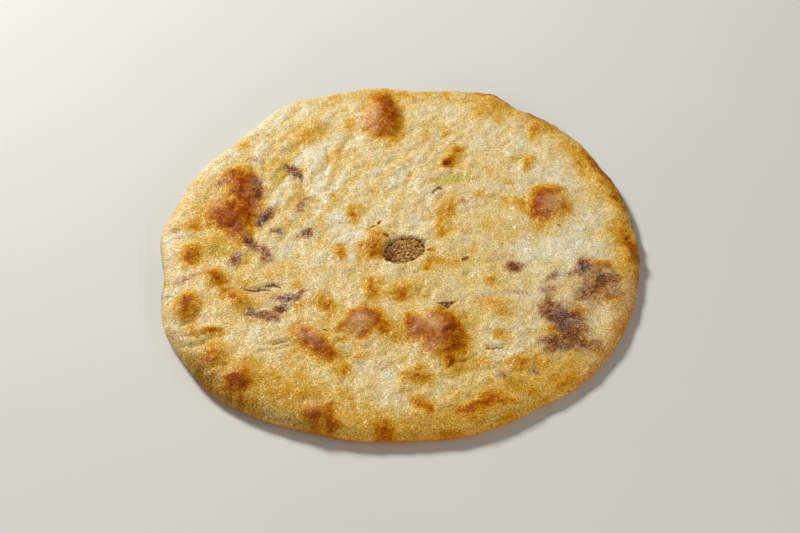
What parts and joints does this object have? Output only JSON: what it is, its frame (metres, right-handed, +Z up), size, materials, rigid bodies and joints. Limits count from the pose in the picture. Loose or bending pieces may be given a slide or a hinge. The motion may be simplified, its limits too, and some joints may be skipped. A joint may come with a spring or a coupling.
{
  "type": "ossetian pie",
  "caption": "Flat round baked pie of thin leavened dough over a minced filling, with a small steam vent near the middle and a blistered golden lid.",
  "frame": {"origin": "middle of the pie's outline, on the surface that it rests on", "axes": "+Z up through the lid, +X to the right and +Y away from the viewer who sees the vent just in front of the middle"},
  "size_m": [0.3145, 0.3242, 0.02],
  "materials": {
    "baked_crust": "baked dough brushed with butter, cream to golden with red-brown blisters",
    "minced_filling": "moist cooked mince, brown-grey and glistening"
  },
  "bodies": {
    "root": {"crust": "baked_crust", "filling": "minced_filling"}
  },
  "joints": []
}
